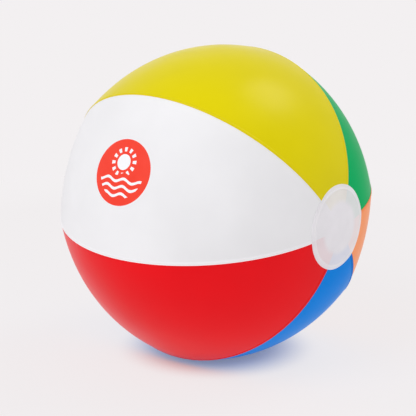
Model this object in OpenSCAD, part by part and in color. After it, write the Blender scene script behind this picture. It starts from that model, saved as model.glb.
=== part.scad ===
// Inflatable beach ball: six welded vinyl gores, two pole patches and a push-in air valve.
// Sizes are in millimetres. The ball lies with its pole axis along X and stands on z = 0.
// The plain pole faces +X and the valve faces -X.

/* [Ball] */

// Polar axis to the middle of a panel, measured at the girth
ball_radius = 162; // [90:1:300]
// Pole-to-pole length as a share of the width across two panel middles
pole_share = 0.965; // [0.93:0.005:0.99]
// Flatness of a panel across its width: 0 would be a true sphere
panel_flatness = 0.26; // [0.05:0.01:0.5]
// Thickness of the vinyl film
film = 0.25; // [0.18:0.01:0.6]
// How far the lowest panel's middle is rolled past the floor contact, in degrees
roll = 6.7; // [-12:0.1:12]
// How deep the film flattens where the ball stands
flat_depth = 2.8; // [1:0.1:6]

/* [Seams] */

// Width by which one panel laps over the next at a weld
lap_width = 2; // [1:0.1:4]

/* [Pole patches] */

// Radius of the round patch over the panel tips
patch_radius = 44; // [32:0.5:80]
// Radius of the hole that the panel tips leave
tip_radius = 25.5; // [23:0.5:30]
// Play between a patch and the panel tips under it
patch_clearance = 0.08; // [0.05:0.01:0.3]
// Gap between the end of a lap and the rim of a patch
lap_end_gap = 0.6; // [0.2:0.1:3]

/* [Printed roundel] */

// Radius of the printed roundel on the white panel
print_radius = 34; // [15:1:42]
// Thickness of the ink
print_film = 0.05; // [0.03:0.01:0.2]
// How far the roundel sits from the girth, towards the plain pole
print_shift = -6.5; // [-40:1:40]

/* [Valve skirt and flange] */

// Radius of the well that the valve sinks into
well_radius = 14; // [12.5:0.5:18]
// Radius of the flange welded behind the patch
flange_radius = 21; // [19:0.5:22.5]
// Thickness of the flange
flange_wall = 0.8; // [0.7:0.1:1.5]
// Thickness of the flexible skirt
skirt_wall = 0.6; // [0.4:0.05:0.7]

/* [Valve stem] */

// Length of the stem from its inner end to its mouth
stem_length = 17; // [14:0.5:22]
// Outer radius of the stem
stem_radius = 5.75; // [5.4:0.05:6.4]
// Radius of the bore that takes a pump nozzle or straw
bore_radius = 3.2; // [2.5:0.05:3.4]
// Radius of the seat for the stopper's plug
seat_radius = 4.0; // [3.7:0.05:4.4]
// Depth of the seat from the mouth
seat_depth = 3.8; // [3:0.1:5]
// How far the mouth stands above the ball when pushed in
mouth_height = 1.2; // [0.8:0.1:3]
// Width of the bead round the mouth, beyond the stem
bead_width = 0.65; // [0.3:0.05:1]
// Height of the bead
bead_height = 2.2; // [1.9:0.1:3]
// Width of the collar at the inner end, beyond the stem
collar_width = 1.55; // [1:0.05:2.5]
// Thickness of the collar
collar_wall = 1.5; // [1:0.1:2.5]
// Gap left between moulded pieces that flex apart
mould_gap = 0.03; // [0.02:0.01:0.1]

/* [Stopper] */

// Radius of the stopper's head
head_radius = 6.9; // [6.6:0.1:9]
// Thickness of the head
head_wall = 1.6; // [1.4:0.1:2.5]
// Gap between the head and the mouth
head_gap = 0.05; // [0.03:0.01:0.2]
// Length of the plug
plug_length = 3.4; // [2.4:0.1:4]
// Radial play of the plug at the mouth
plug_play = 0.05; // [0.02:0.01:0.1]
// How much the plug narrows by its tip, on the radius
plug_taper = 0.45; // [0.4:0.05:0.8]
// Reach of the thumb tab beyond the head
tab_reach = 3.6; // [2:0.2:6]
// Width of the thumb tab
tab_width = 6; // [4:0.5:9]

/* [Strap] */

// Width of the strap between stopper and stem
strap_width = 4; // [3:0.25:6]
// Thickness of the strap
strap_wall = 0.8; // [0.6:0.05:1]
// Distance from the stem's bead to the centre of the strap's bend
strap_bend_gap = 2.6; // [2.2:0.1:4]
// Radius of the strap's bend at mid thickness
strap_bend = 1.1; // [0.9:0.05:1.3]

/* [Check flap] */

// How far the flap that holds the air in laps beyond the bore
flap_lap = 1.1; // [0.8:0.05:1.3]
// Thickness of the flap
flap_wall = 0.5; // [0.4:0.05:0.8]
// Gap between the closed flap and the stem's inner end
flap_gap = 0.1; // [0.05:0.01:0.2]
// Width of the web that the flap swings on
web_width = 3; // [2:0.25:4]

/* [Hidden] */

panel_count = 6;
panel_angle = 360 / panel_count;
half_angle = panel_angle / 2;

// A panel is turned round an axis set back from the pole axis by this much.
set_back = panel_flatness * ball_radius;
// Its outline from pole to pole is an arc of this radius, centred a little off the axis.
arc_offset = ball_radius * (1 - pole_share);
arc_radius = ball_radius - arc_offset;

// Distance from the pole axis to a seam at the girth.
seam_radius = -set_back * cos(half_angle)
    + sqrt(pow(set_back * cos(half_angle), 2) + pow(ball_radius, 2) + 2 * ball_radius * set_back);
// Half the angle that a panel spans at its own set-back axis, with a margin for the laps.
lap_margin = 2;
span_half = asin(seam_radius * sin(half_angle) / (ball_radius + set_back)) + lap_margin;

// Height of the pole axis over the floor.
centre_height = ball_radius + set_back - set_back * cos(roll) - flat_depth;

// Distance from the ball's middle to a seam's crest near a pole, at a distance from the axis.
function crest_at(rho) = sqrt(pow(arc_radius, 2) - pow(arc_offset + set_back
    - sqrt(pow(set_back, 2) + pow(rho, 2) + 2 * rho * set_back * cos(half_angle)), 2));

// Panels are shaped from this near the pole axis, and then cut back to their tips.
tip_start = tip_radius * 0.6;

// A patch is part of a sphere that rests on the crests at its rim and clears them at the tips.
rim_level = crest_at(patch_radius);
tip_level = crest_at(tip_radius) + patch_clearance;
patch_centre = (pow(tip_level, 2) - pow(rim_level, 2) + pow(tip_radius, 2) - pow(patch_radius, 2))
    / (2 * (tip_level - rim_level));
patch_dome = sqrt(pow(patch_radius, 2) + pow(rim_level - patch_centre, 2));

// Distance from the ball's middle to a patch's inner face, at a distance from the axis.
function patch_at(rho) = patch_centre + sqrt(pow(patch_dome, 2) - pow(rho, 2));

skin = patch_at(well_radius);
mouth = skin + mouth_height;
stem_end = mouth - stem_length;
skirt_foot = stem_end + collar_wall + mould_gap;

// The stopper and its strap turn on the outside of the strap's bend.
head_foot = mouth + head_gap;
strap_bend_reach = stem_radius + bead_width + strap_bend_gap;
bend_level = head_foot + head_wall / 2 - strap_bend;
hinge_reach = strap_bend_reach + strap_bend;

// The flap swings on the rounded end of its web.
flap_radius = bore_radius + flap_lap;
flap_face = stem_end - flap_gap;
flap_hinge = flap_face - flap_wall / 2;
flap_hinge_inset = 0.75;
flap_hinge_reach = flap_radius + flap_hinge_inset;
// The web is this much narrower than its lug on each side, and clears its end by the play.
web_inset = 0.3;
web_play = 0.06;
// The lug stands in from the collar's edge and is rooted this deep in the collar.
lug_inset = 0.4;
lug_root = 0.5;
lug_reach = stem_radius + collar_width - lug_inset;

// The hollow in the stopper's head, the overlap of its tab, and the neck over its plug.
hollow_depth = 0.7;
hollow_rim = 1.7;
tab_root = 2;
neck = 0.2;
// Extra length of a tool that cuts right through a face.
past = 1;

big = ball_radius * 3;
ball_fn = 96;
valve_fn = 60;

// The ball's own frame: local z is the pole axis and local x points at the floor.
module ball_frame() {
    translate([0, 0, centre_height]) rotate([0, 90, 0]) children();
}

// The valve's frame: local z points out of the valve and local -x points up.
module valve_frame() {
    ball_frame() rotate([180, 0, 0]) children();
}

// Panels are shaped with local x through their middle, then turned into place by this angle.
function middle(k) = roll - panel_angle * k;

// The wedge of space between a panel's two seam planes, widened beyond either of them.
module wedge(below, above) {
    along = big / cos(half_angle);
    reach = [cos(half_angle), sin(half_angle)];
    linear_extrude(height = big, center = true)
        polygon([
            below * [-reach.y, reach.x],
            below * [-reach.y, reach.x] + along * reach,
            above * [-reach.y, -reach.x] + along * [reach.x, -reach.y],
            above * [-reach.y, -reach.x]
        ]);
}

// A panel's share of space: the wedge, with a lap beyond a seam that ends short of the patches.
module share(below, above) {
    wedge(0, 0);
    difference() {
        wedge(below ? lap_width : 0, above ? lap_width : 0);
        cylinder(r = patch_radius + lap_end_gap, h = big, center = true, $fn = ball_fn);
    }
}

// Turns an outline about the panel's own set-back axis, far enough round to reach both seams.
module turned() {
    translate([-set_back, 0, 0]) rotate([0, 0, -span_half])
        rotate_extrude(angle = 2 * span_half, $fn = ball_fn) children();
}

// A panel's outline from pole to pole, filled, at a height above the film's outer face.
module outline(height) {
    translate([set_back + arc_offset, 0]) circle(r = arc_radius + height, $fn = ball_fn);
}

// A layer over the whole panel between two heights, starting this far from the pole axis.
module layer(low, high, from) {
    turned() intersection() {
        difference() {
            outline(high);
            outline(low);
        }
        translate([set_back + from, -big / 2]) square([big, big]);
    }
}

// The space that a panel closes off down to the floor, for the flattened contact.
module space_behind(k, depth) {
    intersection() {
        turned() intersection() {
            outline(-depth);
            translate([set_back + tip_start, -big / 2]) square([big, big]);
        }
        rotate([0, 0, -middle(k)]) translate([centre_height - depth - big, -big / 2, -big / 2])
            cube([big, big, big]);
    }
}

// A gore. It may lap over the panel below it, above it, or both, where the films are welded.
module gore(k, below = false, above = false, flat = false) {
    ball_frame() rotate([0, 0, middle(k)]) difference() {
        intersection() {
            if (flat) difference() {
                space_behind(k, 0);
                space_behind(k, film);
            }
            else layer(-film, 0, tip_start);
            share(below, above);
        }
        cylinder(r = tip_radius, h = big, center = true, $fn = ball_fn);
    }
}

// A round patch of film drawn tight over the seams where they meet the pole.
module pole_disc(inner, outer) {
    rotate_extrude($fn = ball_fn) intersection() {
        translate([0, patch_centre]) difference() {
            circle(r = patch_dome + film, $fn = ball_fn);
            circle(r = patch_dome, $fn = ball_fn);
        }
        translate([inner, patch_centre]) square([outer - inner, patch_dome + film]);
    }
}

module panel_blue() {
    color([0.05, 0.45, 0.83]) gore(0, below = true, flat = true);
}

module panel_red() {
    color([0.88, 0.1, 0.14]) gore(1, below = true);
}

module panel_white() {
    color([0.93, 0.93, 0.94]) gore(2, below = true);
}

module panel_yellow() {
    color([0.87, 0.79, 0.1]) gore(3, below = true, above = true);
}

module panel_green() {
    color([0.02, 0.62, 0.31]) gore(4);
}

module panel_orange() {
    color([0.97, 0.55, 0.3]) gore(5, below = true);
}

module printed_roundel() {
    color([0.95, 0.3, 0.2]) ball_frame() rotate([0, 0, middle(2)]) intersection() {
        layer(0, print_film, ball_radius / 2);
        translate([ball_radius / 2, 0, print_shift]) rotate([0, 90, 0])
            cylinder(r = print_radius, h = ball_radius, $fn = ball_fn);
    }
}

module pole_patch() {
    color([0.9, 0.9, 0.92, 0.7]) ball_frame() pole_disc(0, patch_radius);
}

module valve_patch() {
    color([0.9, 0.9, 0.92, 0.7]) ball_frame() mirror([0, 0, 1])
        pole_disc(well_radius, patch_radius);
}

module valve_flange() {
    edge = patch_at(flange_radius);
    color([0.92, 0.93, 0.95]) valve_frame() rotate_extrude($fn = valve_fn)
        polygon([
            [well_radius, skin],
            [flange_radius, edge],
            [flange_radius, edge - flange_wall],
            [well_radius, skin - flange_wall]
        ]);
}

module valve_skirt() {
    rim = 1.1;
    toe = 1.2;
    foot = stem_radius + mould_gap;
    color([0.9, 0.92, 0.95]) valve_frame() rotate_extrude($fn = valve_fn)
        polygon([
            [well_radius, skin],
            [well_radius - rim, skin],
            [foot + toe, skirt_foot + skirt_wall],
            [foot, skirt_foot + skirt_wall],
            [foot, skirt_foot],
            [foot + toe + skirt_wall, skirt_foot],
            [well_radius - rim + skirt_wall, skin - skirt_wall],
            [well_radius, skin - skirt_wall]
        ]);
}

module valve_stem() {
    color([0.9, 0.92, 0.95]) valve_frame() {
        difference() {
            union() {
                translate([0, 0, stem_end])
                    cylinder(r = stem_radius, h = stem_length, $fn = valve_fn);
                translate([0, 0, mouth - bead_height])
                    cylinder(r = stem_radius + bead_width, h = bead_height, $fn = valve_fn);
                translate([0, 0, stem_end])
                    cylinder(r = stem_radius + collar_width, h = collar_wall, $fn = valve_fn);
            }
            translate([0, 0, stem_end - past])
                cylinder(r = bore_radius, h = stem_length + 2 * past, $fn = valve_fn);
            translate([0, 0, mouth - seat_depth])
                cylinder(r = seat_radius, h = seat_depth + past, $fn = valve_fn);
        }
        // The lug that the check flap's web hangs from.
        translate([-lug_reach, -web_width / 2, flap_face - flap_wall])
            cube([lug_reach - flap_hinge_reach - flap_wall / 2 - web_play,
                  web_width, flap_gap + flap_wall + lug_root]);
    }
}

module stopper() {
    color([0.93, 0.94, 0.96]) valve_frame() difference() {
        union() {
            translate([0, 0, head_foot]) cylinder(r = head_radius, h = head_wall, $fn = valve_fn);
            // Thumb tab, opposite the strap.
            translate([head_radius - tab_root, -tab_width / 2, head_foot])
                cube([tab_reach, tab_width, head_wall]);
            translate([head_radius - tab_root + tab_reach, 0, head_foot])
                cylinder(r = tab_width / 2, h = head_wall, $fn = valve_fn);
            // The plug narrows to its tip so that it can swing out of its seat.
            translate([0, 0, head_foot - head_gap - plug_length])
                cylinder(r1 = seat_radius - plug_play - plug_taper, r2 = seat_radius - plug_play,
                         h = plug_length, $fn = valve_fn);
            translate([0, 0, mouth - neck])
                cylinder(r = seat_radius - plug_play, h = 2 * neck, $fn = valve_fn);
        }
        // Hollow in the top of the head.
        translate([0, 0, head_foot + head_wall - hollow_depth])
            cylinder(r = head_radius - hollow_rim, h = hollow_depth + past, $fn = valve_fn);
    }
}

module stopper_strap() {
    color([0.92, 0.93, 0.95]) valve_frame() difference() {
        rotate([90, 0, 0]) linear_extrude(height = strap_width, center = true) union() {
            // Bend.
            translate([-strap_bend_reach, bend_level]) intersection() {
                difference() {
                    circle(r = strap_bend + strap_wall / 2, $fn = valve_fn);
                    circle(r = strap_bend - strap_wall / 2, $fn = valve_fn);
                }
                translate([-strap_width, -strap_width]) square([strap_width, 2 * strap_width]);
            }
            // Leg to the stem's bead.
            translate([-strap_bend_reach, bend_level - strap_bend - strap_wall / 2])
                square([strap_bend_reach, strap_wall]);
            // Leg to the stopper's head.
            translate([-strap_bend_reach, bend_level + strap_bend - strap_wall / 2])
                square([strap_bend_reach, strap_wall]);
        }
        translate([0, 0, mouth - bead_height - past])
            cylinder(r = stem_radius + bead_width + mould_gap, h = bead_height + past,
                     $fn = valve_fn);
        translate([0, 0, mouth])
            cylinder(r = head_radius + mould_gap, h = head_wall + past, $fn = valve_fn);
    }
}

module check_flap() {
    color([0.85, 0.88, 0.92]) valve_frame() {
        translate([0, 0, flap_face - flap_wall])
            cylinder(r = flap_radius, h = flap_wall, $fn = valve_fn);
        translate([-flap_hinge_reach, -web_width / 2 + web_inset, flap_face - flap_wall])
            cube([2 * flap_hinge_inset, web_width - 2 * web_inset, flap_wall]);
        translate([-flap_hinge_reach, 0, flap_hinge]) rotate([90, 0, 0])
            cylinder(r = flap_wall / 2, h = web_width - 2 * web_inset, center = true,
                     $fn = valve_fn);
    }
}

panel_blue();
panel_red();
panel_white();
panel_yellow();
panel_green();
panel_orange();
printed_roundel();
pole_patch();
valve_patch();
valve_flange();
valve_skirt();
valve_stem();
stopper();
stopper_strap();
check_flap();
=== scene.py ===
import bpy
import numpy as np
from mathutils import Matrix, Vector


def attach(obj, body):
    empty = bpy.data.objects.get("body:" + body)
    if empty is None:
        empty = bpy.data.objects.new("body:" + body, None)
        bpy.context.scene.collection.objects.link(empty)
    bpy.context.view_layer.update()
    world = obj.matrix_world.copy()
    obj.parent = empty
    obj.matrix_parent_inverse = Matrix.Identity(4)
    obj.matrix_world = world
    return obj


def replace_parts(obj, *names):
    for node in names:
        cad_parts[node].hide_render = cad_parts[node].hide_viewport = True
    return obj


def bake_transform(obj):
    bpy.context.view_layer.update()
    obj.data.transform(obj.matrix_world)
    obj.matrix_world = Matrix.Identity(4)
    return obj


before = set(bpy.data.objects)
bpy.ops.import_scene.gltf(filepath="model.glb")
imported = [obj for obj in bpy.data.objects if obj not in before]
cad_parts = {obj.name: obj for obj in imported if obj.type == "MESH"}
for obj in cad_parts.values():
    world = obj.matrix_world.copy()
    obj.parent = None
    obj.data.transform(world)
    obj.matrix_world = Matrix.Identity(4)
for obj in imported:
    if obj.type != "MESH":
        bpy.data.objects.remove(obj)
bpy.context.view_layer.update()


# ---------------------------------------------------------------- The six film panels
# Six gores of coloured vinyl film, cut flat and welded edge to edge with a narrow lap, so
# that air pressure pulls them into a ball with slightly flat panels and crisp seams.
# The lowest one, the blue, flattens where the ball stands.

girth = 0.162
pole_share = 0.965
flatness = 0.26
arc_offset = girth * (1 - pole_share)
arc = girth - arc_offset
set_back = flatness * girth
film = 0.00025
roll = np.radians(6.7)
flat_depth = 0.0028
half = np.radians(30)
axis_height = girth + set_back - set_back * np.cos(roll) - flat_depth
tip = 0.0255
patch_rim = 0.044
lap = 0.002
lap_play = 0.00003
seam_band = 0.006
crest_height = 0.00008
floor_easing = 0.0006


def ease(low, high, value):
    """Nought below low, one above high, and a smooth cubic step in between."""
    share = np.clip((value - low) / (high - low), 0, 1)
    return share * share * (3 - 2 * share)


def middle(k):
    """Angle of a panel's middle round the pole axis: the roll, less a sixth turn a panel."""
    return roll - 2 * half * k


def spread(rho, fold):
    """Distance from the pole axis: the far side of a triangle whose other sides are the
    set-back and the panel's own radius, at an angle of fold from the panel's middle."""
    return -set_back * np.cos(fold) + np.sqrt(
        (set_back * np.cos(fold)) ** 2 + rho * rho + 2 * rho * set_back)


def folded(turn):
    """Angle from the nearest panel's middle: the turn, reflected at the seam."""
    return half - np.abs(np.abs(turn) - half)


def level_at(distance, fold):
    """Angle up the pole-to-pole arc at which a panel is this far from the pole axis: the
    arc cosine of the panel's own radius there, less the arc's offset, over the arc."""
    own = -set_back + np.sqrt(
        set_back ** 2 + distance ** 2 + 2 * distance * set_back * np.cos(fold))
    return np.arccos(np.clip((own - arc_offset) / arc, -1, 1))


def placed(x, distance, angle):
    """A point x along the pole axis and this far from it, at an angle from straight down."""
    return np.stack([x + 0 * distance, distance * np.sin(angle),
                     axis_height - distance * np.cos(angle)], axis=-1)


def pucker(x, seam, away):
    """Small gathers beside a seam: three sine waves along it, of unlike length, that swell
    and fade along the seam and die away across it."""
    phase = seam * 2.1
    wave = (np.sin(x * 640 + phase) + 0.8 * np.sin(x * 910 - 2.3 * phase)
            + 0.5 * np.sin(x * 1490 + 3.7 * phase))
    swell = 0.35 + 0.65 * np.sin(x * 37 + 1.7 * phase) ** 2
    return 0.00006 * wave * swell * np.exp(-(away / 0.009) ** 2)


def panel_points(k, lap_low, lap_high, lift):
    """A grid over a panel: rows climb the arc from pole to pole, columns cross the panel and
    crowd together at the seams. Each point lies at the panel's own radius, plus the lift;
    past a seam it lies on the neighbour, raised by one film. The laps taper away under the
    patches, a low crest runs along each weld, and the floor flattens what would pass it."""
    rows = np.linspace(-1, 1, 261)[:, None]
    fraction = np.linspace(-1, 1, 69)[None, 1:-1]
    seam_distance = spread(arc_offset + arc * np.cos(rows * level_at(tip, half)), half)
    taper = ease(patch_rim - 0.0028, patch_rim - 0.0006, seam_distance)
    before = np.array([6, 5, 4, 3.2, 2.6, 2.2, 1.8, 1.4, 1.1, 0.8, 0.5, 0.25]) / -6 * seam_band
    past = np.array([0.175, 0.35, 0.525, 0.7, 0.85, 0.95, 1.0]) * lap
    high = np.concatenate([before, [0.0], past if lap_high else []])[None, ::-1]
    low = np.concatenate([before, [0.0], past if lap_low else []])[None, :]
    high, low = (np.where(side > 0, side * taper, side) for side in (high, low))
    turn = np.concatenate([
        -half - np.arcsin(high / seam_distance),
        fraction * (half - np.arcsin(seam_band / seam_distance)),
        half + np.arcsin(low / seam_distance)], axis=1)
    signed = np.concatenate([high, 0 * fraction * taper - seam_band, low], axis=1)
    fold = folded(turn)
    level = rows * level_at(tip, fold)
    raised = (np.where(turn > 0, lap_low, lap_high) * taper * (film + lap_play)
              * ease(-0.6 * lap, 0.0, signed))
    height = arc + lift + raised
    x = height * np.sin(level)
    distance = spread(arc_offset + height * np.cos(level), fold)
    seam = np.where(turn > 0, k, k + 1) % 6
    free = ease(patch_rim + 0.003, patch_rim + 0.02, distance)
    crest = crest_height * np.exp(-((signed + 0.0002) / 0.0009) ** 2) * taper
    gathers = free * pucker(x, seam, distance * (half - fold))
    points = placed(x, distance + gathers + crest, middle(k) + turn)
    sunk = points[..., 2] + lift
    points[..., 2] = 0.5 * (sunk + np.sqrt(sunk ** 2 + floor_easing ** 2)) - lift
    weld = ease(-1.2 * lap, -0.8 * lap, signed) * taper
    # The outer part of each lap. The material colours it partly as the doubled film and partly as
    # painted shade, and on the white as a painted highlight.
    edge = ease(0.55 * lap, 0.8 * lap, signed) * taper
    return points, weld, edge


def built(name, grids, sharp=38):
    """A mesh from closed grids. Each grid is (points, ends): its columns join round, and its
    rows join round too when ends is None; otherwise the first and last rows are closed by a
    fan to their middle ('fan') or by a strip across them ('zip'). If the volume under the
    faces comes out negative, they are all turned round."""
    vertices, faces, start = [], [], 0
    for points, ends in grids:
        rows, columns = points.shape[:2]
        r = np.arange(rows if ends is None else rows - 1)
        c = np.arange(columns)
        r, c = np.meshgrid(r, c, indexing="ij")
        r2, c2 = (r + 1) % rows, (c + 1) % columns
        quads = np.stack([r * columns + c, r * columns + c2,
                          r2 * columns + c2, r2 * columns + c], -1).reshape(-1, 4)
        triangles = np.zeros((0, 3), int)
        own = [points.reshape(-1, 3)]
        count = rows * columns
        top = (rows - 1) * columns
        if ends == "fan":
            c = np.arange(columns)
            c2 = (c + 1) % columns
            own += [points[0].mean(0)[None], points[-1].mean(0)[None]]
            triangles = np.concatenate([
                np.stack([c2, c, 0 * c + count], -1),
                np.stack([top + c, top + c2, 0 * c + count + 1], -1)])
            count += 2
        if ends == "zip":
            c = np.arange(columns // 2 - 1)
            back = columns - 1 - c
            quads = np.concatenate([
                quads, np.stack([c + 1, c, back, back - 1], -1),
                top + np.stack([c, c + 1, back - 1, back], -1)])
        own = np.concatenate(own)
        split = np.concatenate([quads[:, [0, 1, 2]], quads[:, [0, 2, 3]], triangles])
        a, b, d = (own[split[:, i]] - own.mean(0) for i in range(3))
        if np.einsum("ij,ij->i", a, np.cross(b, d)).sum() < 0:
            quads, triangles = quads[:, ::-1], triangles[:, ::-1]
        vertices.append(own)
        faces += (quads + start).tolist() + (triangles + start).tolist()
        start += count
    mesh = bpy.data.meshes.new(name)
    mesh.from_pydata(np.concatenate(vertices), [], faces)
    mesh.polygons.foreach_set("use_smooth", np.ones(len(mesh.polygons), bool))
    mesh.set_sharp_from_angle(angle=np.radians(sharp))
    piece = bpy.data.objects.new(name, mesh)
    bpy.context.scene.collection.objects.link(piece)
    return piece


def marked(piece, name, values):
    """Keeps one number a point on the mesh, for the material to read."""
    layer = piece.data.attributes.new(name, "FLOAT", "POINT")
    layer.data.foreach_set("value", np.ascontiguousarray(values, dtype=np.float32).ravel())


def ink(red, green, blue):
    """A display colour out of 255, as linear light: a straight foot, then a power of 2.4."""
    share = np.array([red, green, blue]) / 255
    light = np.where(share <= 0.04045, share / 12.92, ((share + 0.055) / 1.055) ** 2.4)
    return (*light.tolist(), 1.0)


def wired(tree, kind, inputs=None, **settings):
    """A shader node whose inputs are plain values or the outputs of other nodes."""
    made = tree.nodes.new("ShaderNode" + kind)
    for key, value in settings.items():
        setattr(made, key, value)
    for key, value in (inputs or {}).items():
        if isinstance(value, bpy.types.NodeSocket):
            tree.links.new(value, made.inputs[key])
        else:
            made.inputs[key].default_value = value
    return made


def blended(tree, factor, first, second):
    """Colour that goes from the first to the second with the factor."""
    mix = wired(tree, "Mix", data_type="RGBA", clamp_factor=True)
    for place, value in ((0, factor), (6, first), (7, second)):
        if isinstance(value, bpy.types.NodeSocket):
            tree.links.new(value, mix.inputs[place])
        else:
            mix.inputs[place].default_value = value
    return mix.outputs[2]


def sums(tree, operation, *values):
    """One arithmetic step on numbers or node outputs."""
    return wired(tree, "Math", dict(enumerate(values)), operation=operation).outputs[0]


def ranged(tree, value, low, high, first, last):
    """Maps low to high on to first to last, with a smooth step at both ends."""
    return wired(tree, "MapRange", {"Value": value, "From Min": low, "From Max": high,
                                    "To Min": first, "To Max": last},
                 interpolation_type="SMOOTHSTEP").outputs[0]


def new_finish(name):
    """A new material: its node tree, its shader and the place it reads on the piece."""
    material = bpy.data.materials.new(name)
    material.use_nodes = True
    tree = material.node_tree
    place = wired(tree, "TexCoord").outputs["Object"]
    return material, tree, tree.nodes["Principled BSDF"], place


def film_finish(name, colour, weld_colour, lap_edge_shade_and_highlight, shine):
    """Calendered vinyl: its colour drifts by a few parts in a hundred, the face has the soft
    unevenness of stretched film, and the welded band is duller and deeper in colour. The outer part
    of a lap takes the lap edge colour. That colour is partly the doubled film and partly painted
    shade along the lap's edge, with a painted highlight on the white."""
    material, tree, shader, place = new_finish(name)
    cloud = wired(tree, "TexNoise", {"Vector": place, "Scale": 11.0, "Detail": 3.0})
    drift = ranged(tree, cloud.outputs[0], 0.2, 0.8, 0.965, 1.03)
    base = wired(tree, "HueSaturation", {"Value": drift, "Color": colour})
    weld = wired(tree, "Attribute", attribute_name="weld").outputs["Fac"]
    edge = wired(tree, "Attribute", attribute_name="edge").outputs["Fac"]
    welded = blended(tree, weld, base.outputs[0], weld_colour)
    # Painted shade along the lap's edge, and on the white a painted highlight, blended in over the
    # welded colour.
    tree.links.new(blended(tree, edge, welded, lap_edge_shade_and_highlight), shader.inputs["Base Color"])
    speck = wired(tree, "TexNoise", {"Vector": place, "Scale": 420.0, "Detail": 2.0})
    slow = wired(tree, "TexNoise", {"Vector": place, "Scale": 26.0, "Detail": 1.0})
    rough = ranged(tree, slow.outputs[0], 0.2, 0.8, 0.28, 0.35)
    tree.links.new(sums(tree, "MULTIPLY_ADD", weld, 0.10, rough), shader.inputs["Roughness"])
    grip = sums(tree, "MULTIPLY_ADD", speck.outputs[0], 0.05, slow.outputs[0])
    bump = wired(tree, "Bump", {"Height": grip, "Strength": 0.3, "Distance": 0.0008})
    tree.links.new(bump.outputs[0], shader.inputs["Normal"])
    shader.inputs["Specular IOR Level"].default_value = shine
    return material


def panel(tone, k, lap_low, lap_high, finish):
    """A closed skin: the outer face across, the inner face back, the ends zipped shut."""
    outer, weld, edge = panel_points(k, lap_low, lap_high, 0.0)
    inner = panel_points(k, lap_low, lap_high, -film)[0]
    piece = built("film_" + tone, [(np.concatenate([outer, inner[:, ::-1]], axis=1), "zip")])
    marked(piece, "weld", np.concatenate([weld, weld[:, ::-1]], axis=1))
    marked(piece, "edge", np.concatenate([edge, edge[:, ::-1]], axis=1))
    piece.data.materials.append(finish)
    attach(piece, "ball")
    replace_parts(piece, "panel_" + tone)


# Each film's colours: its face, its weld, and its lap edge. The lap edge is partly the doubled film
# and partly painted shade, with a painted highlight on the white.
film_colours = {
    "blue": (ink(0, 133, 230), ink(0, 118, 212), ink(8, 44, 120)),
    "red": (ink(238, 6, 20), ink(230, 6, 20), ink(206, 4, 16)),
    "white": (ink(237, 238, 240), ink(240, 241, 243), ink(252, 253, 255)),
    "yellow": (ink(222, 208, 0), ink(221, 206, 0), ink(225, 204, 2)),
    "green": (ink(0, 176, 98), ink(0, 162, 88), ink(0, 140, 74)),
    "orange": (ink(255, 150, 80), ink(252, 142, 72), ink(242, 130, 60)),
}
film_shine = {"blue": 0.015, "red": 0.12, "white": 0.02, "yellow": 0.1, "green": 0.012,
              "orange": 0.12}
# Whether a film laps over the one before it in the ring, and over the next.
film_laps = {"blue": (1, 0), "red": (1, 0), "white": (1, 0), "yellow": (1, 1),
             "green": (0, 0), "orange": (1, 0)}
for number, (tone, colours) in enumerate(film_colours.items()):
    finish = film_finish("vinyl film, " + tone, *colours, film_shine[tone])
    panel(tone, number, *film_laps[tone], finish)


# ---------------------------------------------------------------- The printed roundel
# A round print in red-orange ink on the white panel, put on the flat film before the ball
# is welded. A plain sun over three waves, in white, is left out of the ink.

print_radius = 0.034
print_shift = -0.0065
ink_foot, ink_top = 0.00001, 0.00005

# The motif's sizes, as shares of the roundel's radius.
sun_centre, sun_radius = 0.3, 0.24
ray_foot, ray_end, ray_count = 0.32, 0.45, 12
wave_height, waves_a_turn = 0.05, 10.5
first_wave, last_wave, wave_pitch, wave_half_width = 0.13, 0.79, 0.22, 0.042
sun_horizon, motif_rim = 0.06, 0.8


def print_points(radius, angle, lift):
    """Rings and spokes laid on the white panel: a flat disc seen square to the panel's
    middle, carried straight back on to the panel's surface. Its height there is the root of
    the panel's own radius squared less the distance across squared, less the set-back."""
    x = print_shift + radius * np.cos(angle)
    across = radius * np.sin(angle)
    height = arc + lift
    rho = arc_offset + np.sqrt(height ** 2 - x ** 2)
    along = np.sqrt((set_back + rho) ** 2 - across ** 2) - set_back
    way = middle(2)
    return np.stack([x + 0 * along, along * np.sin(way) - across * np.cos(way),
                     axis_height - along * np.cos(way) - across * np.sin(way)], axis=-1)


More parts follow.
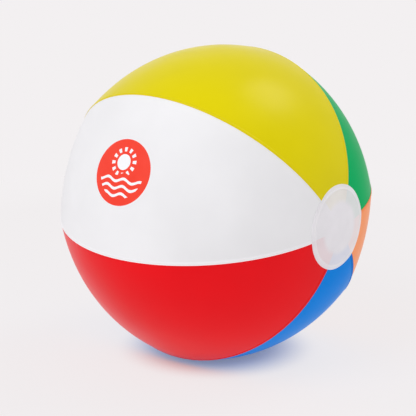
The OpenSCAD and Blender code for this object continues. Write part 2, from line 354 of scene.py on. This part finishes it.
def sun_and_waves(tree, plan):
    """One on the white motif and nought on the ink. The sun is a disc in a ring of rays,
    which show where a sine of so many turns round the sun is above a tenth. The waves are
    bands on either side of a sine line that is repeated at a pitch down the roundel."""
    def between(low, value, high):
        """One where the value lies between low and high, and nought elsewhere."""
        return sums(tree, "MULTIPLY", sums(tree, "GREATER_THAN", value, low),
                    sums(tree, "LESS_THAN", value, high))

    parts = wired(tree, "SeparateXYZ", {0: plan})
    across, up = parts.outputs[0], parts.outputs[1]
    sun_up = sums(tree, "SUBTRACT", up, sun_centre)
    from_sun = sums(tree, "SQRT", sums(tree, "ADD", sums(tree, "MULTIPLY", across, across),
                                       sums(tree, "MULTIPLY", sun_up, sun_up)))
    turns = sums(tree, "MULTIPLY", sums(tree, "ARCTAN2", sun_up, across), float(ray_count))
    rays = sums(tree, "MULTIPLY", sums(tree, "GREATER_THAN", sums(tree, "SINE", turns), 0.1),
                between(ray_foot, from_sun, ray_end))
    sun = sums(tree, "MAXIMUM", sums(tree, "LESS_THAN", from_sun, sun_radius), rays)
    line = sums(tree, "SINE", sums(tree, "MULTIPLY", across, waves_a_turn))
    below = sums(tree, "SUBTRACT", sums(tree, "MULTIPLY", line, wave_height), up)
    in_pitch = sums(tree, "FLOORED_MODULO", sums(tree, "SUBTRACT", below, first_wave), wave_pitch)
    from_wave = sums(tree, "ABSOLUTE", sums(tree, "SUBTRACT", in_pitch, wave_pitch / 2))
    waves = sums(tree, "MULTIPLY", sums(tree, "LESS_THAN", from_wave, wave_half_width),
                 between(first_wave, below, last_wave))
    risen = sums(tree, "MULTIPLY", sun, sums(tree, "LESS_THAN", below, sun_horizon))
    from_centre = wired(tree, "VectorMath", {0: plan}, operation="LENGTH").outputs["Value"]
    return sums(tree, "MULTIPLY", sums(tree, "MAXIMUM", risen, waves),
                sums(tree, "LESS_THAN", from_centre, motif_rim))


ring = np.concatenate([[0.0006], np.linspace(0.0014, print_radius, 36)])[:, None]
spoke = np.linspace(0, 2 * np.pi, 144, endpoint=False)[None, :]
disc = np.concatenate([print_points(ring, spoke, ink_top),
                       print_points(ring, spoke, ink_foot)[::-1]])
roundel = built("roundel_print", [(disc, "fan")])
plan = np.stack([ring * np.cos(spoke), ring * np.sin(spoke), 0 * ring * spoke], -1) / print_radius
plan = np.concatenate([plan.reshape(-1, 3), plan[::-1].reshape(-1, 3), np.zeros((2, 3))])
layer = roundel.data.attributes.new("print_plan", "FLOAT_VECTOR", "POINT")
layer.data.foreach_set("vector", plan.astype(np.float32).ravel())

screen_ink, tree, shader, place = new_finish("screen ink, red-orange")
motif = sun_and_waves(tree, wired(tree, "Attribute", attribute_name="print_plan").outputs["Vector"])
mottle = wired(tree, "TexNoise", {"Vector": place, "Scale": 60.0, "Detail": 4.0})
inked = blended(tree, mottle.outputs[0], ink(240, 60, 42), ink(246, 74, 56))
tree.links.new(blended(tree, motif, inked, ink(244, 246, 249)), shader.inputs["Base Color"])
tooth = wired(tree, "TexNoise", {"Vector": place, "Scale": 900.0, "Detail": 2.0})
bump = wired(tree, "Bump", {"Height": tooth.outputs[0], "Strength": 0.12, "Distance": 0.0002})
tree.links.new(bump.outputs[0], shader.inputs["Normal"])
rough = wired(tree, "MapRange", {"Value": mottle.outputs[0], "To Min": 0.34, "To Max": 0.46})
tree.links.new(rough.outputs[0], shader.inputs["Roughness"])
shader.inputs["Specular IOR Level"].default_value = 0.15
roundel.data.materials.append(screen_ink)
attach(roundel, "ball")
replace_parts(roundel, "printed_roundel")


# ---------------------------------------------------------------- The two pole patches
# Round frosted vinyl patches that close the ball where the six panel tips meet, held by a
# ring-shaped weld near the rim. The panels' colours show faintly through the outer part.
# The patch at the valve end has a round well in its middle.

def crest_at(rho):
    """Height of a seam's crest near a pole: the arc times the sine of the seam's level."""
    return arc * np.sin(level_at(rho, half))


well = 0.014
bead_at, groove_at = 0.0398, 0.0375
rim_level, tip_level = crest_at(patch_rim), crest_at(tip) + crest_height
patch_centre = (tip_level ** 2 - rim_level ** 2 + tip ** 2 - patch_rim ** 2) / (
    2 * (tip_level - rim_level))
patch_dome = np.hypot(patch_rim, rim_level - patch_centre)


def patch_at(rho):
    """Height of the smooth cap that the patch would make if nothing lay under it: a circle
    through the rim and the panels' tips, at this distance from the pole axis."""
    return patch_centre + np.sqrt(patch_dome ** 2 - rho ** 2)


def patch_points(rho, angle, lift, hole):
    """Rings and spokes: a smooth cap in the middle that settles on to the six panel tips
    further out, with a low round bead over the weld and a lip that turns down at the well."""
    turn = (angle - middle(0) + half) % (2 * half) - half
    settled = ease(0.014, 0.030, rho)
    on_tips = arc * np.sin(level_at(rho, folded(turn))) + 0.00004
    height = patch_at(rho) * (1 - settled) + on_tips * settled + lift
    bead = 0.00042 * np.exp(-((rho - bead_at) / 0.00075) ** 2)
    groove = -0.00012 * np.exp(-((rho - groove_at) / 0.0010) ** 2)
    tip_step = 0.00012 * ease(tip - 0.0010, tip + 0.0010, rho)
    height = height + (bead + groove + tip_step) * (lift > 0)
    if hole:
        height = height - 0.0006 * (1 - ease(0.0, 0.0016, rho - well))
    return placed(height, rho, angle)


def tinted(mesh, hole):
    """Paints each face corner: milky white, with a share of the colour of the film under the
    face's centre that rises past the tips and drops past the weld, and paler on the bead."""
    corner = np.zeros(len(mesh.loops), np.int32)
    mesh.loops.foreach_get("vertex_index", corner)
    total = np.zeros(len(mesh.polygons), np.int32)
    mesh.polygons.foreach_get("loop_total", total)
    place = np.zeros(len(mesh.vertices) * 3)
    mesh.vertices.foreach_get("co", place)
    place = place.reshape(-1, 3)[corner]
    centre = np.zeros(len(mesh.polygons) * 3)
    mesh.polygons.foreach_get("center", centre)
    centre = np.repeat(centre.reshape(-1, 3), total, axis=0)
    way = np.arctan2(centre[:, 1], axis_height - centre[:, 2])
    sector = np.round((middle(0) - way) / (2 * half)).astype(int) % 6
    tints = np.array([colours[0] for colours in film_colours.values()])
    rho = np.hypot(place[:, 1], place[:, 2] - axis_height)[:, None]
    strength = 0.12 * ease(tip - 0.002, tip + 0.005, rho)
    strength = strength * (1 - 0.55 * ease(0.0385, 0.0392, rho))
    painted = np.array(ink(238, 237, 241)) * (1 - strength) + tints[sector] * strength
    bead = 0.5 * np.exp(-((rho - bead_at) / 0.0008) ** 2)
    painted = painted * (1 - bead) + np.array(ink(246, 245, 247)) * bead
    if hole:
        flange = ease(0.0216, 0.0208, rho)
        painted = painted * (1 - flange) + np.array(ink(242, 242, 245)) * flange
    painted[:, 3] = 1
    layer = mesh.attributes.new("tint", "FLOAT_COLOR", "CORNER")
    layer.data.foreach_set("color", painted.astype(np.float32).ravel())


seam_spokes = middle(0) + half + 2 * half * np.arange(6)[:, None]
patch_spokes = (seam_spokes + 2 * half * np.linspace(0, 1, 33)[None, :-1]).ravel()[None, :]


def patch(name, hole, finish):
    """The patch's outer face out to the rim and its inner face back again. The one with the
    hole is mirrored on to the other pole."""
    start = well if hole else 0.0005
    rho = np.concatenate([
        start + (tip - start) * np.linspace(0, 1, 19)[:-1], np.linspace(tip, 0.036, 13)[:-1],
        np.linspace(0.036, 0.0425, 30), np.linspace(0.0427, patch_rim, 6)])[:, None]
    outer = patch_points(rho, patch_spokes, film, hole)
    inner = patch_points(rho, patch_spokes, 0.0, hole)
    grid = np.concatenate([outer, inner[::-1]])
    if hole:
        grid[..., 0] *= -1
    piece = built(name, [(grid, None if hole else "fan")], sharp=55)
    tinted(piece.data, hole)
    piece.data.materials.append(finish)
    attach(piece, "ball")
    return piece


def frosted_finish(name):
    """Frosted vinyl: the painted tint under a milky face with a fine frosting."""
    material, tree, shader, place = new_finish(name)
    tint = wired(tree, "Attribute", attribute_name="tint").outputs["Color"]
    cloud = wired(tree, "TexNoise", {"Vector": place, "Scale": 45.0, "Detail": 4.0})
    drift = wired(tree, "MapRange", {"Value": cloud.outputs[0], "From Min": 0.3,
                                     "From Max": 0.7, "To Min": 0.96, "To Max": 1.02})
    base = wired(tree, "HueSaturation", {"Value": drift.outputs[0], "Color": tint})
    tree.links.new(base.outputs[0], shader.inputs["Base Color"])
    frost = wired(tree, "TexNoise", {"Vector": place, "Scale": 1100.0, "Detail": 3.0})
    ripple = wired(tree, "TexNoise", {"Vector": place, "Scale": 70.0, "Detail": 2.0})
    height = sums(tree, "MULTIPLY_ADD", frost.outputs[0], 0.12, ripple.outputs[0])
    bump = wired(tree, "Bump", {"Height": height, "Strength": 0.3, "Distance": 0.0005})
    tree.links.new(bump.outputs[0], shader.inputs["Normal"])
    rough = wired(tree, "MapRange", {"Value": frost.outputs[0], "To Min": 0.34, "To Max": 0.5})
    tree.links.new(rough.outputs[0], shader.inputs["Roughness"])
    shader.inputs["Specular IOR Level"].default_value = 0.35
    shader.inputs["Coat Weight"].default_value = 0.1
    shader.inputs["Coat Roughness"].default_value = 0.2
    return material


frosted = frosted_finish("frosted vinyl")
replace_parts(patch("plain_patch", False, frosted), "pole_patch")
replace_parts(patch("well_patch", True, frosted), "valve_patch")


# ---------------------------------------------------------------- The valve's skirt and flange
# A thin soft vinyl funnel, moulded with a flange that is welded behind the patch. It lets
# the valve be pushed in flush with the ball and pulled out to be blown up. The flange
# itself is out of sight and keeps its own plain ring shape.

mm = 0.001
mouth = patch_at(well) + 1.2 * mm
stem_end = mouth - 17 * mm
skirt_top = patch_at(well) - 0.5 * mm
skirt_foot = stem_end + 1.53 * mm
skirt_wide, skirt_narrow = 14.15 * mm, 5.85 * mm
skirt_wall = 0.6 * mm


def from_valve(x, y, z):
    """Places the valve's own points: z runs out of the ball, and -x is up."""
    return np.stack(np.broadcast_arrays(-z, -y, axis_height - x), axis=-1)


def turned(profile, columns=96):
    """A closed outline of (radius, height) carried once round the valve's axis."""
    angle = np.linspace(0, 2 * np.pi, columns, endpoint=False)[None, :]
    radius, height = profile[:, :1], profile[:, 1:]
    return from_valve(radius * np.cos(angle), radius * np.sin(angle), height)


def soft_vinyl(name, colour, deep, roughness):
    """Milky moulded vinyl: light sinks in a little, the colour drifts between two shades,
    and the face is faintly mottled from the mould."""
    material, tree, shader, place = new_finish(name)
    cloud = wired(tree, "TexNoise", {"Vector": place, "Scale": 160.0, "Detail": 4.0})
    tree.links.new(blended(tree, cloud.outputs[0], colour, deep), shader.inputs["Base Color"])
    fine = wired(tree, "TexNoise", {"Vector": place, "Scale": 1800.0, "Detail": 2.0})
    height = sums(tree, "MULTIPLY_ADD", fine.outputs[0], 0.2, cloud.outputs[0])
    bump = wired(tree, "Bump", {"Height": height, "Strength": 0.25, "Distance": 0.0002})
    tree.links.new(bump.outputs[0], shader.inputs["Normal"])
    rough = wired(tree, "MapRange", {"Value": cloud.outputs[0], "To Min": roughness - 0.06,
                                     "To Max": roughness + 0.08})
    tree.links.new(rough.outputs[0], shader.inputs["Roughness"])
    shader.inputs["Subsurface Weight"].default_value = 0.25
    shader.inputs["Subsurface Radius"].default_value = (0.0018, 0.0016, 0.0014)
    shader.inputs["Specular IOR Level"].default_value = 0.45
    return material


milky = soft_vinyl("soft vinyl, milky", ink(226, 229, 234), ink(214, 218, 225), 0.38)
along = np.linspace(0, 1, 40)
skirt_radius = skirt_wide + (skirt_narrow - skirt_wide) * along
skirt_depth = skirt_top - (skirt_top - skirt_foot - 0.6 * mm) * ease(0, 1, along)
skirt_depth = skirt_depth + 0.08 * mm * np.sin(along * 40) * np.sin(along * np.pi)
slope = np.stack([np.gradient(skirt_radius), np.gradient(skirt_depth)], -1)
slope = slope / np.linalg.norm(slope, axis=1)[:, None]
off = np.stack([-slope[:, 1], slope[:, 0]], -1) * skirt_wall / 2
line = np.stack([skirt_radius, skirt_depth], -1)
skirt = built("soft_skirt", [(turned(np.concatenate([line + off, (line - off)[::-1]])), None)],
              sharp=60)
skirt.data.materials.append(milky)
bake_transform(skirt)
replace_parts(skirt, "valve_skirt")

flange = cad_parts["valve_flange"]
flange.data.materials.clear()
flange.data.materials.append(milky)


# ---------------------------------------------------------------- The valve's stem
# A short tube of the same soft vinyl: a bead round its mouth, a seat for the stopper, a
# bore for a pump's nozzle, and at its inner end a collar and the lug of the check flap.
# The flap is a plain thin disc, and keeps its own shape.

bore, seat, stem_side, bead, collar = 3.2 * mm, 4.0 * mm, 5.75 * mm, 6.4 * mm, 7.3 * mm
seat_floor, bead_foot, collar_top = mouth - 3.8 * mm, mouth - 2.2 * mm, stem_end + 1.5 * mm


def eased(corners, radii, steps=7):
    """A closed outline with each corner cut back by its radius and replaced by a smooth
    curve: a quadratic blend of the point before, the corner, and the point after."""
    corners, radii = np.array(corners, float), np.array(radii, float)[:, None]
    before = np.roll(corners, 1, axis=0) - corners
    after = np.roll(corners, -1, axis=0) - corners
    before = corners + before / np.linalg.norm(before, axis=1)[:, None] * radii
    after = corners + after / np.linalg.norm(after, axis=1)[:, None] * radii
    t = np.linspace(0, 1, steps)[None, :, None]
    curve = ((1 - t) ** 2 * before[:, None] + 2 * t * (1 - t) * corners[:, None]
             + t ** 2 * after[:, None])
    return curve.reshape(-1, 2)


def squared_round(power):
    """Cosine and sine round one turn, pushed out to a superellipse: each is divided by the
    root, of this power, of the sum of both raised to it."""
    angle = np.linspace(0, 2 * np.pi, 32, endpoint=False)[None, :]
    c, s = np.cos(angle), np.sin(angle)
    size = (np.abs(c) ** power + np.abs(s) ** power) ** (-1 / power)
    return c * size, s * size


def block(low, high):
    """A small moulded block: a superellipse section carried straight from one end to the
    other, pinched in a little at both ends."""
    low, high = np.array(low), np.array(high)
    centre, reach = (low + high) / 2, (high - low) / 2
    step = np.array([-1, -0.94, -0.8, 0.8, 0.94, 1])[:, None]
    pinch = np.array([0.86, 0.96, 1, 1, 0.96, 0.86])[:, None]
    c, s = squared_round(8)
    return from_valve(centre[0] + reach[0] * c * pinch, centre[1] + reach[1] * s * pinch,
                      centre[2] + reach[2] * step)


outline = eased(
    [(bore, stem_end), (collar, stem_end), (collar, collar_top), (stem_side, collar_top),
     (stem_side, bead_foot), (bead, bead_foot), (bead, mouth), (seat, mouth),
     (seat, seat_floor), (bore, seat_floor)],
    np.array([0.3, 0.4, 0.4, 0.3, 0.25, 0.3, 0.55, 0.35, 0.2, 0.2]) * mm)
lug = block((-6.9 * mm, -1.5 * mm, stem_end - 0.6 * mm), (-5.36 * mm, 1.5 * mm, stem_end))
stem = built("stem_tube", [(turned(outline), None), (lug, "fan")])
stem.data.materials.append(milky)
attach(stem, "valve")
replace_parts(stem, "valve_stem")

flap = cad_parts["check_flap"]
flap.data.materials.clear()
flap.data.materials.append(milky)


# ---------------------------------------------------------------- The stopper
# One moulded piece: a round head with a hollow in its top, a thumb tab to lift it by, and
# a tapered plug that wedges into the stem's seat.

stopper_vinyl = soft_vinyl("soft vinyl, stopper", ink(233, 235, 240), ink(222, 225, 231), 0.32)
head_foot = mouth + 0.05 * mm
head_radius = 6.9
tab_end, tab_half_width, tab_straight = 8.5, 3.0, 2.83
merge = 26

# The tab's edge in each direction from the head's middle: two straight sides out to a round
# end. The head and the tab are merged by a high power, which leaves a small fillet.
spin = np.linspace(0, 2 * np.pi, 160, endpoint=False)
tab_sine = np.abs(np.sin(spin))
tab_side = tab_half_width / np.maximum(tab_sine, 1e-6)
tab_round = tab_end * np.cos(spin) + np.sqrt(
    np.maximum(tab_half_width ** 2 - (tab_end * tab_sine) ** 2, 0))
tab = np.where(tab_end * tab_sine < tab_straight, tab_round, tab_side)
tab = np.minimum(np.where(np.cos(spin) > 0, tab, 0), tab_end + tab_half_width)
past_head = (head_radius ** merge + tab ** merge) ** (1 / merge) - head_radius

# The outline from the hollow in the top, over the rim and down the plug. Each row is a
# radius, a height above the head's foot, and the share of the tab that is added.
rows = np.array([
    (0.3, 0.9, 0), (2.5, 0.9, 0), (4.4, 0.9, 0), (4.9, 0.93, 0), (5.15, 1.05, 0),
    (5.2, 1.3, 0), (5.3, 1.5, 0), (5.55, 1.59, 0), (5.9, 1.6, 0.3), (6.3, 1.6, 0.95),
    (6.6, 1.55, 1), (6.82, 1.4, 1), (6.9, 1.15, 1), (6.9, 0.5, 1), (6.84, 0.2, 1),
    (6.65, 0.05, 1), (6.3, 0.0, 0.97), (5.4, 0.0, 0.3), (4.3, 0.0, 0), (4.02, -0.02, 0),
    (3.95, -0.12, 0), (3.92, -0.4, 0), (3.62, -2.9, 0), (3.54, -3.2, 0), (3.36, -3.38, 0),
    (3.1, -3.44, 0), (1.5, -3.45, 0), (0.3, -3.45, 0)])
radius = (rows[:, :1] + rows[:, 2:] * past_head[None, :]) * mm
head = from_valve(radius * np.cos(spin), radius * np.sin(spin), head_foot + rows[:, 1:2] * mm)
stopper = built("stopper_cap", [(head, "fan")])
stopper.data.materials.append(stopper_vinyl)
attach(stopper, "cap")
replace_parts(stopper, "stopper")


# ---------------------------------------------------------------- The stopper's strap
# A thin flat strap, moulded with the stopper and the stem, that bends double when the
# stopper is in its seat. It narrows at the bend, where it flexes.

bend_radius = 1.1 * mm
bend_at = 9 * mm
bend_level = head_foot + 0.8 * mm - bend_radius
half_width, half_thickness = 2.0 * mm, 0.4 * mm

leg = np.linspace(6.2, 9, 12)[:-1] * mm
sweep = np.linspace(-np.pi / 2, np.pi / 2, 25)
path_out = np.concatenate([leg, bend_at + bend_radius * np.cos(sweep), leg[::-1] + 0.55 * mm])
path_up = np.concatenate([0 * leg - bend_radius, bend_radius * np.sin(sweep),
                          0 * leg + bend_radius])
way = np.stack([np.gradient(path_out), np.gradient(path_up)], -1)
way = way / np.linalg.norm(way, axis=1)[:, None]
waist = 1 - 0.18 * np.exp(-((path_out - bend_at - bend_radius) / (1.6 * mm)) ** 2)[:, None]
c, s = squared_round(6)
thick = half_thickness * c * (0.9 + 0.1 * waist)
wide = half_width * s * waist
strap_grid = from_valve(-(path_out[:, None] + way[:, 1:] * thick), wide,
                        bend_level + path_up[:, None] - way[:, :1] * thick)
strap = built("strap_loop", [(strap_grid, "fan")], sharp=50)
strap.data.materials.append(stopper_vinyl)
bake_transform(strap)
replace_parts(strap, "stopper_strap")


# ---------------------------------------------------------------- Floor, light and camera
# A pale sweep of floor that glows though it is no lamp. It glows weakly near the ball's foot, which
# paints a tight contact shadow and lights the ball from below. Further out it glows fully and runs
# into the same pale light as the background. A wide soft light high in front, and a weaker one high
# behind. The camera has a long lens.

world_light = ink(243, 240, 241)
floor_reach = 6.0
sweep_rows = np.concatenate([[0.02], np.geomspace(0.06, floor_reach, 40)])[:, None]
sweep_spokes = np.linspace(0, 2 * np.pi, 96, endpoint=False)[None, :]
floor_top = np.stack([sweep_rows * np.cos(sweep_spokes), sweep_rows * np.sin(sweep_spokes),
                      0 * sweep_rows * sweep_spokes], -1)
floor_grid = np.concatenate([floor_top, (floor_top - [0, 0, 0.002])[::-1]])
floor = built("floor", [(floor_grid, "fan")])
floor_finish, tree, shader, place = new_finish("glowing pale floor")
out = wired(tree, "VectorMath", {0: place}, operation="LENGTH").outputs["Value"]
# The floor's share of glow: low near the ball's foot and high further out, which paints the contact
# shadow, and full from 0.7 m on.
glowing = sums(tree, "MAXIMUM", ranged(tree, out, 0.05, 0.11, 0.19, 0.86),
               ranged(tree, out, 0.12, 0.7, 0.0, 1.0))
shader.inputs["Base Color"].default_value = ink(236, 234, 235)
shader.inputs["Roughness"].default_value = 0.9
shader.inputs["Specular IOR Level"].default_value = 0.1
glow = wired(tree, "Emission", {"Color": world_light, "Strength": 1.0})
joined = wired(tree, "MixShader", {0: glowing, 1: shader.outputs[0], 2: glow.outputs[0]})
tree.links.new(joined.outputs[0], tree.nodes["Material Output"].inputs[0])
floor.data.materials.append(floor_finish)

world = bpy.data.worlds.new("pale studio")
world.use_nodes = True
tree = world.node_tree
rise = wired(tree, "SeparateXYZ", {0: wired(tree, "TexCoord").outputs["Generated"]}).outputs[2]
tree.nodes["Background"].inputs[0].default_value = world_light
tree.links.new(ranged(tree, rise, 0.1, 0.75, 1.02, 0.62), tree.nodes["Background"].inputs[1])
bpy.context.scene.world = world


def soft_light(name, towards, distance, size, power):
    """A round soft light, this far off and aimed at the middle of the ball."""
    lamp = bpy.data.lights.new(name, "AREA")
    lamp.shape = "DISK"
    lamp.size = size
    lamp.energy = power
    light = bpy.data.objects.new(name, lamp)
    way = Vector(towards).normalized()
    spot = way * distance + Vector((0, 0, axis_height))
    light.matrix_world = Matrix.Translation(spot) @ way.to_track_quat("Z", "Y").to_matrix().to_4x4()
    bpy.context.scene.collection.objects.link(light)


soft_light("key light", (-0.1, -0.75, 0.9), 2.2, 1.3, 16)
soft_light("back light", (0.19, 0.55, 0.81), 1.8, 0.75, 6)

# The ball's middle stands a little to the right of the camera's line of sight and a little
# above it: so many metres for each metre that the camera is away.
camera_turn, camera_rise = np.radians(37.085), np.radians(16.275)
camera_distance = 17.20 * girth
beside_sight, above_sight = 0.0030755, 0.0023631
right = np.array([np.cos(camera_turn), np.sin(camera_turn), 0])
back = np.array([np.sin(camera_turn) * np.cos(camera_rise),
                 -np.cos(camera_turn) * np.cos(camera_rise), np.sin(camera_rise)])
upward = np.cross(back, right)
sight = np.array([beside_sight, above_sight, -1.0])
sight = sight / np.linalg.norm(sight) * camera_distance
spot = np.array([0, 0, axis_height]) - (right * sight[0] + upward * sight[1] + back * sight[2])
camera = bpy.data.objects.new("camera", bpy.data.cameras.new("camera"))
camera.data.sensor_width = 36
camera.data.lens = 231.185
camera.matrix_world = Matrix((
    (right[0], upward[0], back[0], spot[0]), (right[1], upward[1], back[1], spot[1]),
    (right[2], upward[2], back[2], spot[2]), (0, 0, 0, 1)))
bpy.context.scene.collection.objects.link(camera)
bpy.context.scene.camera = camera
bpy.context.scene.view_settings.view_transform = "Standard"
